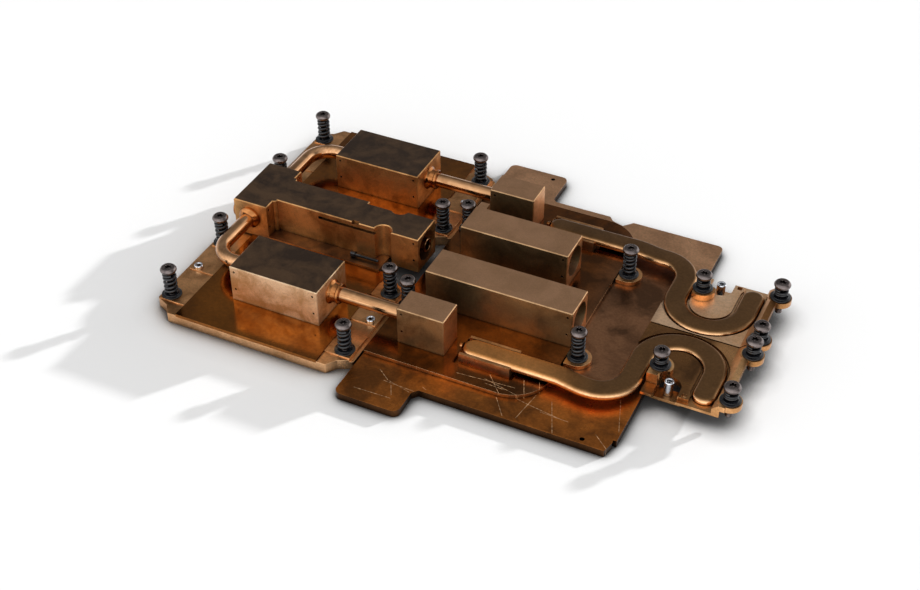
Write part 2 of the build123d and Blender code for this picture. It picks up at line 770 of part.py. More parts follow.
# Heat pipes, from the pads on the lower plate round the bends in the end plates. Both jog
# towards the front, so the rear one is drawn with the opposite jog and then mirrored.
pipe_start = Vector(pipe_x + pipe_w / 2, front_y, pipe_level)
pipe_stop = Vector(arm_x + arm_span, -pipe_end_y + pipe_w / 2, pipe_level)
start_plane = Plane(origin=pipe_start, x_dir=(0, 1, 0), z_dir=(1, 0, 0))
stop_plane = Plane(origin=pipe_stop, x_dir=(-1, 0, 0), z_dir=(0, -1, 0))
for side, jogged_y in (("front", front_y - jog_y), ("rear", front_y + jog_y)):
    with BuildLine() as pipe_route:
        entry = FilletPolyline(
            pipe_start,
            (jog_x, front_y, pipe_level),
            (jog_x + jog_length, jogged_y, pipe_level),
            (arm_x, jogged_y, pipe_level),
            (arm_x, -bend_y, pipe_level),
            radius=(jog_r, jog_r, arm_r),
        )
        bend = JernArc(start=entry @ 1, tangent=(0, 1, 0), radius=arm_span / 2, arc_size=-180)
        Line(bend @ 1, pipe_stop)
    with BuildPart() as heat_pipe:
        with BuildSketch(start_plane):
            pipe_section()
        sweep(path=pipe_route.wire())
        for end_plane in (start_plane, stop_plane):
            with BuildSketch(end_plane):
                pipe_section()
                Rectangle(
                    pipe_w / 2, pipe_t, align=(Align.MIN, Align.CENTER), mode=Mode.INTERSECT
                )
            revolve(axis=Axis(end_plane.origin, (0, 0, 1)), revolution_arc=180)
        with BuildSketch(side_face(pipe_x + tail_d, front_y, pipe_level, -1)):
            Circle(tail_d / 2)
        extrude(amount=tail_d + tail_length)
        if side == "rear":
            mirror(heat_pipe.part, about=Plane.XZ, mode=Mode.REPLACE)
    finish(heat_pipe, f"{side}_heat_pipe")

# Pad that carries the left end of the heat pipe
with BuildPart() as pipe_pad:
    with BuildSketch(Plane.XY.offset(lower_t)):
        with Locations((pad_x + pad_length / 2, front_y)):
            Rectangle(pad_length, pad_w)
    extrude(amount=pad_top - lower_t)
    with BuildSketch(Plane(origin=(pad_x, front_y, pipe_level), x_dir=(0, 1, 0), z_dir=(1, 0, 0))):
        pipe_section(pipe_fit)
        Rectangle(pipe_w + 2 * pipe_fit, pad_top - pipe_level, align=(Align.CENTER, Align.MIN))
    extrude(amount=pad_length, mode=Mode.SUBTRACT)
finish_pair(pipe_pad, "pipe_pad")

# End plate, cut by a stepped slot that seats the pipe along its lower half
with BuildLine() as slot_line:
    arm = Line((arm_x, front_y, pipe_level), (arm_x, -bend_y, pipe_level))
    bend = JernArc(start=arm @ 1, tangent=(0, 1, 0), radius=arm_span / 2, arc_size=-180)
    Line(bend @ 1, pipe_stop)
slot_route = slot_line.wire()
arm_plane = Plane(origin=arm @ 0, x_dir=(-1, 0, 0), z_dir=(0, 1, 0))
inner_x = end_x + inner_screw_inset
inner_y = -inner_screw_y
outer_x = end_right + ear_offset
pad_left = arm_x + pipe_w / 2 + slot_gap
with BuildPart() as end_plate:
    with BuildSketch(Plane.XY.offset(end_bottom)):
        with BuildLine():
            Polyline(
                (end_x, -end_gap / 2),
                (end_right - rail_reach, -end_gap / 2),
                (end_right - rail_reach, -end_y),
                (pad_left, -end_y),
                (pad_left, -bend_y),
                (end_x, -bend_y),
                close=True,
            )
        make_face()
    extrude(amount=end_base_top - end_bottom)
    with BuildSketch(front_face(-end_gap / 2)):
        with BuildLine():
            Polyline(
                (end_right - rail_w, end_base_top),
                (end_right - rail_w + slope_w, end_top),
                (end_right, end_top),
                (end_right, end_top - ear_t),
                (end_right - rail_reach, end_top - ear_t),
                (end_right - rail_reach, end_base_top),
                close=True,
            )
        make_face()
    extrude(amount=end_y - end_gap / 2)
    with BuildSketch(Plane.XY.offset(end_base_top)):
        with Locations((inner_x, inner_y)):
            Circle(seat_r)
        with Locations((pad_left + seat_pad_w / 2, (inner_y - seat_pad_y) / 2)):
            Rectangle(seat_pad_w, seat_pad_y + inner_y)
    extrude(amount=end_top - end_base_top)
    with BuildSketch(Plane.XY.offset(end_top)):
        for y in outer_screws_y:
            with Locations((outer_x, -y)):
                Circle(ear_r)
    extrude(amount=-ear_t)
    with BuildSketch(arm_plane):
        pipe_section(pipe_fit)
    sweep(path=slot_route, mode=Mode.SUBTRACT)
    with BuildSketch(arm_plane):
        Rectangle(
            pipe_w + 2 * slot_gap, end_top - pipe_level, align=(Align.CENTER, Align.MIN)
        )
    sweep(path=slot_route, mode=Mode.SUBTRACT)
    with BuildSketch(stop_plane):
        pipe_section(pipe_fit)
        Rectangle(
            pipe_w / 2 + pipe_fit,
            pipe_t + 2 * pipe_fit,
            align=(Align.MIN, Align.CENTER),
            mode=Mode.INTERSECT,
        )
    revolve(axis=Axis(stop_plane.origin, (0, 0, 1)), revolution_arc=360, mode=Mode.SUBTRACT)
    with Locations(stop_plane.origin):
        Cylinder(
            pipe_w / 2 + slot_gap, end_top - pipe_level, align=BOTTOM, mode=Mode.SUBTRACT
        )
    with Locations((arm_x + arm_span, -end_y, lip_top)):
        Box(
            pipe_w,
            end_y - pipe_end_y + pipe_w,
            end_top - lip_top,
            align=BOTTOM,
            mode=Mode.SUBTRACT,
        )
    for x0, x1, y in ((pad_left, standoff_x, seat_pad_y), (standoff_x, arm_x + arm_span, lip_y)):
        with Locations((x0, -end_y, lip_top)):
            Box(
                x1 - x0,
                end_y - y,
                end_top - lip_top,
                align=(Align.MIN, Align.MIN, Align.MIN),
                mode=Mode.SUBTRACT,
            )
    with Locations((standoff_x, -tray_front, standoff_bottom)):
        Box(
            2 * (cutout_r + tray_wall),
            tray_front - tray_back,
            end_bottom - standoff_bottom,
            align=(Align.CENTER, Align.MIN, Align.MIN),
        )
    with BuildSketch(Plane.XY.offset(standoff_bottom + tray_t)):
        with Locations((standoff_x, -standoff_y)):
            Circle(cutout_r)
        with Locations((standoff_x, (-standoff_y - end_y) / 2)):
            Rectangle(2 * cutout_r, end_y - standoff_y)
    extrude(amount=end_top - standoff_bottom, mode=Mode.SUBTRACT)
    bore_down(
        standoff_x,
        -standoff_y,
        end_bottom,
        standoff_d + 2 * standoff_fit,
        end_bottom - standoff_bottom,
    )
    with Locations((key_x, -key_y, end_bottom)):
        Box(key_w, key_w, end_top - end_bottom, align=BOTTOM, mode=Mode.SUBTRACT)
    end_screws = [(inner_x, inner_y)] + [(outer_x, -y) for y in outer_screws_y]
    for diameter, top in (
        (screw_d + 2 * screw_gap, end_top),
        (clip_d + 2 * clip_room, end_top - ear_t),
    ):
        with BuildSketch(Plane.XY.offset(end_bottom)):
            with Locations(*end_screws):
                RegularPolygon(diameter / 2, fine_facets)
        extrude(amount=top - end_bottom, mode=Mode.SUBTRACT)
finish_pair(end_plate, "end_plate")

# Threaded standoff in the cut-out of the end plate
with BuildPart() as standoff:
    with BuildSketch(Plane.XY.offset(standoff_bottom)):
        with Locations((standoff_x, -standoff_y)):
            Circle(standoff_d / 2)
            Circle(standoff_bore / 2, mode=Mode.SUBTRACT)
    extrude(amount=standoff_top - standoff_bottom)
finish_pair(standoff, "end_standoff")

# Captive screws: places, seat level, tip, underside of what the screw passes, spring turns
left_screws = {
    side: [
        (x, sign * line_y + k * screw_half_y) for x in plate_screws_x for k in (-1, 1)
    ]
    for side, sign in sides.items()
}
plate_fit = (plate_screw_tip, counterbore_depth, tall_turn_count)
end_fit = (end_screw_tip, end_top - ear_t, short_turn_count)
screw_groups = {
    "front_left": (left_screws["front"], land_top, *plate_fit),
    "rear_left": (left_screws["rear"], land_top, *plate_fit),
    "middle": (middle_screws, middle_seat, *plate_fit),
    "front_end": (end_screws, end_top, *end_fit),
    "rear_end": ([(x, -y) for x, y in end_screws], end_top, *end_fit),
}
for group, (places, seat_level, tip, underside, turn_count) in screw_groups.items():
    clip_bottom = underside - clip_gap - clip_t
    with BuildPart() as screw_unit:
        with BuildSketch(Plane.XY.offset(tip)):
            if group.endswith("_end"):
                Circle(screw_d / 2)
            else:
                RegularPolygon(screw_d / 2, fine_facets)
        extrude(amount=clip_bottom - thread_gap - tip)
        with BuildSketch(Plane.XY.offset(clip_bottom - thread_gap)):
            RegularPolygon(shank_d / 2, fine_facets)
        extrude(amount=head_bottom - clip_bottom + thread_gap)
        with BuildSketch(Plane.XY.offset(head_bottom)):
            RegularPolygon(head_d / 2, head_facets)
        extrude(amount=head_h)
        chamfer(screw_unit.faces().sort_by(Axis.Z)[-1].edges(), head_bevel)
        with BuildSketch(Plane.XY.offset(head_top)):
            RegularPolygon(drive_d / 2, 6)
        extrude(amount=-drive_depth, mode=Mode.SUBTRACT)

    # The wire of a spring as straight lengths, five to a turn
    coil_r = (spring_d - wire) / 2
    coil_bottom = seat_level + seat_t + wire / 2 + spring_gap
    coil_rise = head_bottom - wire / 2 - spring_gap - coil_bottom
    steps = turn_count * spring_points
    with BuildPart() as spring_unit:
        with BuildLine() as coil_line:
            Polyline(
                *[
                    (
                        coil_r * cos(2 * pi * i / spring_points),
                        coil_r * sin(2 * pi * i / spring_points),
                        coil_bottom + coil_rise * i / steps,
                    )
                    for i in range(steps + 1)
                ]
            )
        with BuildSketch(Plane(origin=coil_line.line @ 0, z_dir=coil_line.line % 0)):
            Rectangle(wire, wire)
        sweep(path=coil_line.line, transition=Transition.RIGHT)

    with BuildPart() as seat_unit:
        with BuildSketch(Plane.XY.offset(seat_level)):
            RegularPolygon(seat_d / 2, fine_facets)
            RegularPolygon(screw_d / 2 + screw_gap, fine_facets, mode=Mode.SUBTRACT)
        extrude(amount=seat_t)

    with BuildPart() as clip_unit:
        with BuildSketch(Plane.XY.offset(clip_bottom)):
            RegularPolygon(clip_d / 2, fine_facets)
            Rectangle(
                clip_d / 2, clip_mouth, align=(Align.MIN, Align.CENTER), mode=Mode.SUBTRACT
            )
            RegularPolygon(shank_d / 2 + clip_fit, fine_facets, mode=Mode.SUBTRACT)
        extrude(amount=clip_t)

    for name, unit in (
        ("screws", screw_unit),
        ("springs", spring_unit),
        ("spring_seats", seat_unit),
        ("retaining_clips", clip_unit),
    ):
        with BuildPart() as copies:
            for x, y in places:
                add(unit.part.moved(Location((x, y, 0))))
        finish(copies, f"{group}_{name}")
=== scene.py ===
import math

import bmesh
import bpy
from mathutils import Matrix, Vector


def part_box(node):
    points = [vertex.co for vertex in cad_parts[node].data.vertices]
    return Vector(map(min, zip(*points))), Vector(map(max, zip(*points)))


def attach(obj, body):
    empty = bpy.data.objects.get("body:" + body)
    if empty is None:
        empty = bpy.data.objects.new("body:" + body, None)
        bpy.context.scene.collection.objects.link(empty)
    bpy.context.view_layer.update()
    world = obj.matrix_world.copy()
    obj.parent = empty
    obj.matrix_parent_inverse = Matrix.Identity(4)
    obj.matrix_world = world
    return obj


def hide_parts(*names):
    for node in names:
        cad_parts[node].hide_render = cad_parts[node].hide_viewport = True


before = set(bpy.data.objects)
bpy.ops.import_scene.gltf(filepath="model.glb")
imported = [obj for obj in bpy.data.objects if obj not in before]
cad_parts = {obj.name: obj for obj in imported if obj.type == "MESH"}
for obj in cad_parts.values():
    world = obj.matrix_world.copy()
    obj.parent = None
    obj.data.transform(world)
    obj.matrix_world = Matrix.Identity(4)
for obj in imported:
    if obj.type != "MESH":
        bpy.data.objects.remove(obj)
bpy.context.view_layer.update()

mm = 0.001
SIDES = {"front": -1, "rear": 1}
collection = bpy.context.scene.collection

# Levels and sizes that the frame's boxes don't give, in metres
port_level = 15.2 * mm
tube_r = 3.175 * mm
tube_bore_r = 2.375 * mm
elbow_bend_r = 11.0 * mm
pipe_w = 9.8 * mm
pipe_t = 3.6 * mm
pipe_level = 7.8 * mm
pipe_tip_x = 9.5 * mm
pipe_tail_r = 1.1 * mm
pipe_jog_x = 52.0 * mm
pipe_jog_length = 10.0 * mm
pipe_jog_y = -1.8 * mm
pipe_jog_r = 20.0 * mm
pipe_arm_x = 77.5 * mm
pipe_arm_span = 29.8 * mm
pipe_arm_r = 12.6 * mm
pipe_bend_y = 21.5 * mm
pipe_end_y = 37.4 * mm
line_y = 45.8 * mm
head_top = 19.9 * mm
head_r = 3.55 * mm
head_h = 2.9 * mm
screw_r = 1.5 * mm
spring_r = 3.0 * mm
seat_r = 4.3 * mm
seat_hub_r = 3.3 * mm
seat_hole_r = 1.85 * mm
clip_r = 3.5 * mm
clip_hole_r = 1.55 * mm

# How the meshes are made: gaps in metres, angles in degrees
merge_gap = 0.002 * mm
edge = 0.07 * mm
fine_edge = 0.015 * mm
bevel_segments = 3
bevel_angle = 40
milled_angle = 30
turned_angle = 35
arc_steps = 14
pipe_side_steps = 16
pipe_end_steps = 18
pipe_bend_steps = 36
up = Vector((0, 0, 1))


def link(mesh, name, stands_for):
    """Make an object of a mesh, on the one body, and let it stand for a node."""
    piece = bpy.data.objects.new(name, mesh)
    collection.objects.link(piece)
    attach(piece, "root")
    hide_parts(stands_for)
    return piece


def dress(piece, finish):
    """Give a piece its one material."""
    piece.data.materials.clear()
    piece.data.materials.append(finish)


def smooth(mesh, angle):
    """Shade a mesh smooth, apart from edges sharper than an angle in degrees."""
    mesh.polygons.foreach_set("use_smooth", [True] * len(mesh.polygons))
    mesh.set_sharp_from_angle(angle=math.radians(angle))


def bridge(bm, lower, upper):
    """Join two rings of as many points with quads."""
    count = len(lower)
    for i in range(count):
        j = (i + 1) % count
        bm.faces.new((lower[i], lower[j], upper[j], upper[i]))


def rings_to_bm(bm, rings, closed_ends=True, loop=False):
    """Skin a list of rings of points."""
    made = [[bm.verts.new(point) for point in ring] for ring in rings]
    for lower, upper in zip(made, made[1:]):
        bridge(bm, lower, upper)
    if loop:
        bridge(bm, made[-1], made[0])
    elif closed_ends:
        bm.faces.new(list(reversed(made[0])))
        bm.faces.new(made[-1])
    return made


def lathe(bm, profile, place, count=48, loop=False):
    """Turn a profile of (radius, height) or (radius, height, lobe) about the Z axis of place.

    A lobe above zero is the depth of six lobes round the ring. One below zero makes
    the ring a hexagon whose flats are at the radius."""
    rings = []
    for point in profile:
        radius, height = point[:2]
        lobe = point[2] if len(point) > 2 else 0
        ring = []
        for i in range(count):
            angle = 2 * math.pi * i / count
            r = radius
            if lobe > 0:
                r = radius - lobe * (0.5 - 0.5 * math.cos(6 * angle))
            elif lobe < 0:
                r = radius / math.cos((angle + math.pi / 6) % (math.pi / 3) - math.pi / 6)
            ring.append(place @ Vector((r * math.cos(angle), r * math.sin(angle), height)))
        rings.append(ring)
    rings_to_bm(bm, rings, loop=loop)


def make_piece(bm, name, stands_for, finish):
    """Turn a bmesh into a smooth piece with outward normals and one material."""
    bmesh.ops.recalc_face_normals(bm, faces=bm.faces)
    mesh = bpy.data.meshes.new(name)
    bm.to_mesh(mesh)
    bm.free()
    smooth(mesh, turned_angle)
    dress(link(mesh, name, stands_for), finish)


def along(start, direction):
    """A matrix whose Z axis points in a direction from a start."""
    turn = Vector(direction).to_track_quat("Z", "Y").to_matrix().to_4x4()
    return Matrix.Translation(start) @ turn


def rounded_copy(name, width, finish):
    """A dressed copy of a node's mesh, with its sharp edges rounded."""
    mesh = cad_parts[name].data.copy()
    mesh.materials.clear()
    bm = bmesh.new()
    bm.from_mesh(mesh)
    bmesh.ops.remove_doubles(bm, verts=bm.verts, dist=merge_gap)
    bmesh.ops.dissolve_limit(
        bm, angle_limit=math.radians(1), verts=bm.verts, edges=bm.edges
    )
    bm.to_mesh(mesh)
    bm.free()
    piece = link(mesh, name + "_finished", name)
    bevel = piece.modifiers.new("edges", "BEVEL")
    bevel.width = width
    bevel.segments = bevel_segments
    bevel.limit_method = "ANGLE"
    bevel.angle_limit = math.radians(bevel_angle)
    bevel.use_clamp_overlap = True
    smooth(mesh, milled_angle)
    weighted = piece.modifiers.new("normals", "WEIGHTED_NORMAL")
    weighted.keep_sharp = True
    weighted.weight = 100
    applied = bpy.data.meshes.new_from_object(
        piece.evaluated_get(bpy.context.evaluated_depsgraph_get())
    )
    piece.modifiers.clear()
    piece.data = applied
    dress(piece, finish)


def arc_points(corner, before, after, radius):
    """Points of an arc that rounds a corner between two neighbours."""
    a = (before - corner).normalized()
    b = (after - corner).normalized()
    half = a.angle(b) / 2
    reach = radius / math.tan(half)
    centre = corner + (a + b).normalized() * (radius / math.sin(half))
    start = corner + a * reach - centre
    turn = start.rotation_difference(corner + b * reach - centre)
    axis, angle = turn.to_axis_angle()
    return [
        centre + Matrix.Rotation(angle * i / arc_steps, 3, axis) @ start
        for i in range(arc_steps + 1)
    ]


def rounded_path(points, radii):
    """A path through points, with each inner corner rounded."""
    path = [points[0]]
    for i, radius in enumerate(radii, start=1):
        path += arc_points(points[i], points[i - 1], points[i + 1], radius)
    return path + [points[-1]]


def sweep_section(bm, path, section, closed_ends=True):
    """Carry a section of (side, height) points along a path."""
    rings = []
    for i, point in enumerate(path):
        ahead = path[min(i + 1, len(path) - 1)] - path[max(i - 1, 0)]
        side = ahead.cross(up).normalized()
        over = side.cross(ahead).normalized()
        rings.append([point + side * s + over * h for s, h in section])
    return rings_to_bm(bm, rings, closed_ends)


def circle_section(radius, count=40):
    """A round section."""
    return [
        (radius * math.cos(2 * math.pi * i / count), radius * math.sin(2 * math.pi * i / count))
        for i in range(count)
    ]


def slot_section(width, height):
    """A flat section with round sides: bottom middle, one side, top middle, other side."""
    r = height / 2
    reach = width / 2 - r
    right = [
        (reach + r * math.cos(a), r * math.sin(a))
        for a in (math.pi * (i / pipe_side_steps - 0.5) for i in range(pipe_side_steps + 1))
    ]
    return [(0, -r)] + right + [(0, r)] + [(-x, -y) for x, y in right]


def round_end(bm, ring, centre, outward):
    """Close the end of a flat tube with a half-round end."""
    half = len(ring) // 2
    side = ring[1:half]
    other = ring[half + 1:][::-1]
    axis = (ring[half].co - ring[0].co).normalized()
    quarter = Matrix.Rotation(math.pi / 2, 3, axis) @ (side[0].co - centre)
    turn = math.copysign(math.pi, quarter.dot(outward))
    strips = [side]
    for i in range(1, pipe_end_steps):
        spin = Matrix.Rotation(turn * i / pipe_end_steps, 3, axis)
        strips.append([bm.verts.new(centre + spin @ (v.co - centre)) for v in side])
    strips.append(other)
    for a, b in zip(strips, strips[1:]):
        for j in range(len(a) - 1):
            bm.faces.new((a[j], b[j], b[j + 1], a[j + 1]))
        bm.faces.new((a[-1], b[-1], ring[half]))
        bm.faces.new((b[0], a[0], ring[0]))


# Materials: lengths in metres, a range as low and high, a remap as low, high and what
# they become, a bump as strength and depth
noise_middle = (0.3, 0.7)
cloud_range = (0.84, 1.16)
streak_range = (0.75, 1.25)
wear_range = (0.35, 0.65)
upward = (0.55, 0.9)
# Faces turned this far to the right take the end colours: painted sunlight
painted_sunlight_facing = (0.6, 0.9)
blot_scale = 0.35
speck_scale = 12
streak_noise = 900.0
streak_clouds = 140.0
steel_grain = 2200.0
steel_wear = 420.0
speck_light = (0.35, 0.7, 0.86, 1.08)
speck_relief = 0.5
machined_bump = (0.10, 0.05 * mm)
drawn_bump = (0.08, 0.03 * mm)
steel_bump = (0.06, 0.02 * mm)
# How far and how strongly recesses and corners are darkened: painted shade
machined_shade_reach = 1.8 * mm
machined_painted_shade = (0.25, 0.72, 0.03, 1.0)
steel_shade_reach = 1.2 * mm
steel_painted_shade = (0.30, 0.75, 0.02, 1.0)
painted_shade_samples = 6
scratch_width = 0.15 * mm
scratch_core = 0.3
scratch_breaks = (0.32, 0.58, 0.2, 1.0)
scratch_colour = (1.0, 0.66, 0.38, 1.0)
scratch_roughness = 0.65
raised_fade = 0.2 * mm
drawn_stretch = 0.03
fitting_stretch = 0.2


def nodes_of(name):
    """A new node material, with its tree and its main shader."""
    made = bpy.data.materials.new(name)
    made.use_nodes = True
    tree = made.node_tree
    return made, tree, tree.nodes["Principled BSDF"]


def node(tree, kind, inputs=None, **settings):
    """A node with its settings and inputs; an input is a value or a socket."""
    made = tree.nodes.new("ShaderNode" + kind)
    for key, value in settings.items():
        setattr(made, key, value)
    for key, value in (inputs or {}).items():
        socket = made.inputs[key]
        if isinstance(value, bpy.types.NodeSocket):
            tree.links.new(value, socket)
        else:
            socket.default_value = value
    return made


def noise(tree, place, scale, detail, roughness, distortion=0.0):
    """The grey value of a noise."""
    return node(
        tree,
        "TexNoise",
        {
            "Vector": place,
            "Scale": scale,
            "Detail": detail,
            "Roughness": roughness,
            "Distortion": distortion,
        },
    ).outputs["Fac"]


def remap(tree, value, low, high, to_low=0.0, to_high=1.0):
    """A value stretched from one range to another, and held inside it."""
    return node(
        tree,
        "MapRange",
        {0: value, 1: low, 2: high, 3: to_low, 4: to_high},
    ).outputs[0]


def blend_colour(tree, share, first, second):
    """A colour between two others."""
    made = node(tree, "Mix", data_type="RGBA", clamp_factor=True)
    for key, value in ((0, share), (6, first), (7, second)):
        if isinstance(value, bpy.types.NodeSocket):
            tree.links.new(value, made.inputs[key])
        else:
            made.inputs[key].default_value = value
    return made.outputs[2]


def math_node(tree, operation, first, second):
    """Arithmetic on two values."""
    return node(tree, "Math", {0: first, 1: second}, operation=operation).outputs[0]


def rgb(red, green, blue):
    """An opaque colour."""
    return (red, green, blue, 1.0)


def openness(tree, reach, samples):
    """One where nothing is near a point, and towards zero in a recess."""
    made = node(tree, "AmbientOcclusion", {"Distance": reach}, samples=samples)
    return made.outputs["AO"]


def add_bump(tree, shader, height, strength, distance):
    """Give a shader's surface a relief."""
    bump = node(tree, "Bump", {"Strength": strength, "Distance": distance, "Height": height})
    tree.links.new(bump.outputs[0], shader.inputs["Normal"])


def vector_math(tree, operation, inputs):
    """The outputs of vector arithmetic: the vector first, then the value."""
    return node(tree, "VectorMath", inputs, operation=operation).outputs


def scratch_mask(tree, place, lines, width):
    """One where a point lies on any of some straight scratches, given in millimetres."""
    total = 0.0
    for x0, y0, x1, y1 in lines:
        start = (x0 * mm, y0 * mm, 0)
        run = Vector(((x1 - x0) * mm, (y1 - y0) * mm, 0))
        flat = vector_math(tree, "MULTIPLY", {0: place, 1: (1, 1, 0)})[0]
        reach = vector_math(tree, "SUBTRACT", {0: flat, 1: start})[0]
        dot = vector_math(tree, "DOT_PRODUCT", {0: reach, 1: run})["Value"]
        share = remap(tree, dot, 0.0, run.length_squared)
        near = vector_math(tree, "SCALE", {0: run, "Scale": share})[0]
        gap = vector_math(tree, "DISTANCE", {0: reach, 1: near})["Value"]
        line = remap(tree, gap, width, width * scratch_core)
        total = line if total == 0.0 else math_node(tree, "MAXIMUM", total, line)
    return total


def copper(name, side, side_dark, top, top_dark, roughness, top_roughness, cloud=90.0,
           scratches=(), zones=(), ends=None, raised=None):
    """Machined copper: clouded sides, a patina on the faces that look up, painted shade in
    recesses.

    A zone is an axis, where along it the zone starts and is full, and two colours of
    its upward faces. Ends are two colours of the faces to the right: painted sunlight.
    Raised are the level above which all faces are lighter, and their two colours."""
    made, tree, shader = nodes_of(name)
    place = node(tree, "TexCoord").outputs["Object"]
    facing = node(tree, "SeparateXYZ", {0: node(tree, "NewGeometry").outputs["Normal"]}).outputs
    is_top = remap(tree, facing[2], *upward)
    clouds = noise(tree, place, cloud, 8.0, 0.70, 0.5)
    blots = noise(tree, place, cloud * blot_scale, 3.0, 0.5, 1.2)
    specks = noise(tree, place, cloud * speck_scale, 2.0, 0.6)
    share = remap(tree, math_node(tree, "ADD", clouds, blots), *cloud_range)
    sides = blend_colour(tree, share, rgb(*side_dark), rgb(*side))
    tops = blend_colour(tree, share, rgb(*top_dark), rgb(*top))
    # Faces to the right get their own lighter colours: painted sunlight
    if ends:
        right = blend_colour(tree, share, rgb(*ends[1]), rgb(*ends[0]))
        sides = blend_colour(tree, remap(tree, facing[0], *painted_sunlight_facing), sides, right)
    for axis, start, full, light, dark in zones:
        level = node(tree, "SeparateXYZ", {0: place}).outputs[axis]
        other = blend_colour(tree, share, rgb(*dark), rgb(*light))
        tops = blend_colour(tree, remap(tree, level, start * mm, full * mm), tops, other)
    colour = blend_colour(tree, is_top, sides, tops)
    if raised:
        level = node(tree, "SeparateXYZ", {0: place}).outputs[2]
        other = blend_colour(tree, share, rgb(*raised[2]), rgb(*raised[1]))
        is_high = remap(tree, level, raised[0] * mm, raised[0] * mm + raised_fade)
        colour = blend_colour(tree, is_high, colour, other)
    if scratches:
        lines = scratch_mask(tree, place, scratches, scratch_width)
        worn = math_node(tree, "MULTIPLY", lines, remap(tree, specks, *scratch_breaks))
        colour = blend_colour(tree, worn, colour, scratch_colour)
    # Recesses, holes and corners are darkened by ambient occlusion: painted shade
    open_air = openness(tree, machined_shade_reach, painted_shade_samples)
    painted_recess_shade = remap(tree, open_air, *machined_painted_shade)
    fine = math_node(tree, "MULTIPLY", painted_recess_shade, remap(tree, specks, *speck_light))
    tint = node(tree, "HueSaturation", {"Color": colour, "Value": fine}).outputs[0]
    tree.links.new(tint, shader.inputs["Base Color"])
    rough = remap(tree, clouds, *noise_middle, roughness + 0.08, roughness - 0.05)
    rough_top = remap(
        tree, clouds, *noise_middle, top_roughness + 0.06, top_roughness - 0.06
    )
    rough = node(tree, "Mix", {0: is_top, 2: rough, 3: rough_top}).outputs[0]
    if scratches:
        worn_rough = math_node(tree, "MULTIPLY", worn, scratch_roughness)
        rough = math_node(tree, "MAXIMUM", rough, worn_rough)
    tree.links.new(rough, shader.inputs["Roughness"])
    height = math_node(tree, "ADD", math_node(tree, "MULTIPLY", specks, speck_relief), clouds)
    add_bump(tree, shader, height, *machined_bump)
    shader.inputs["Metallic"].default_value = 1.0
    return made


def drawn_tube(name, base, dark, roughness, stretch):
    """Drawn copper, with streaks along its length."""
    made, tree, shader = nodes_of(name)
    place = node(tree, "TexCoord").outputs["Object"]
    laid = node(tree, "Mapping", {"Vector": place, "Scale": stretch}).outputs[0]
    streaks = noise(tree, laid, streak_noise, 3.0, 0.6)
    clouds = noise(tree, place, streak_clouds, 4.0, 0.6, 0.8)
    share = remap(tree, math_node(tree, "ADD", streaks, clouds), *streak_range)
    tree.links.new(
        blend_colour(tree, share, rgb(*dark), rgb(*base)), shader.inputs["Base Color"]
    )
    tree.links.new(
        remap(tree, streaks, *noise_middle, roughness + 0.08, roughness - 0.04),
        shader.inputs["Roughness"],
    )
    add_bump(tree, shader, streaks, *drawn_bump)
    shader.inputs["Metallic"].default_value = 1.0
    return made


def steel(name, base, dark, roughness, metallic=1.0):
    """Coated or plated steel with a fine grain."""
    made, tree, shader = nodes_of(name)
    place = node(tree, "TexCoord").outputs["Object"]
    grain = noise(tree, place, steel_grain, 3.0, 0.6)
    wear = noise(tree, place, steel_wear, 4.0, 0.6)
    share = remap(tree, wear, *wear_range)
    # Recesses and corners are darkened by ambient occlusion: painted shade
    open_air = openness(tree, steel_shade_reach, painted_shade_samples)
    painted_recess_shade = remap(tree, open_air, *steel_painted_shade)
    colour = blend_colour(tree, share, rgb(*dark), rgb(*base))
    tint = node(tree, "HueSaturation", {"Color": colour, "Value": painted_recess_shade}).outputs[0]
    tree.links.new(tint, shader.inputs["Base Color"])
    tree.links.new(
        remap(tree, grain, *noise_middle, roughness + 0.08, roughness - 0.05),
        shader.inputs["Roughness"],
    )
    add_bump(tree, shader, grain, *steel_bump)
    shader.inputs["Metallic"].default_value = metallic
    return made


# Scratches on the lower and upper plates: x, y of both ends in millimetres
SCRATCHES = (
    (53.0, -56.7, 59.7, -72.7), (51.0, -63.9, 62.9, -64.4), (75.3, -66.4, 81.5, -71.8),
    (25.4, -59.8, 34.2, -60.1), (25.3, -54.6, 32.6, -62.7), (38.7, -51.5, 42.2, -59.5),
    (44.5, -49.4, 46.6, -54.2), (-21.5, -82.4, -5.6, -82.0), (-17.1, -68.6, -11.2, -73.0),
    (-11.2, -73.0, -0.4, -75.7), (-8.7, -75.1, -6.0, -80.2),
    (-12.9, -73.9, 1.1, -74.5), (24.4, -57.5, 44.1, -61.9),
    (44.1, -61.9, 60.3, -64.4), (32.2, -63.7, 38.4, -72.2),
    (43.7, -71.0, 45.9, -55.9), (77.0, -43.7, 82.7, -61.2),
    (12.6, -59.1, 37.3, -57.3), (3.3, -70.8, 5.1, -71.6),
)
left_block_copper = copper(
    "left_block_copper", (0.98, 0.72, 0.47), (0.58, 0.33, 0.145), (0.17, 0.100, 0.056),
    (0.070, 0.044, 0.030), 0.46, cloud=150.0, top_roughness=0.40,
)
manifold_copper = copper(
    "manifold_copper", (0.80, 0.42, 0.16), (0.40, 0.18, 0.055), (0.17, 0.100, 0.056),
    (0.070, 0.044, 0.030), 0.40, cloud=150.0, top_roughness=0.40,
)
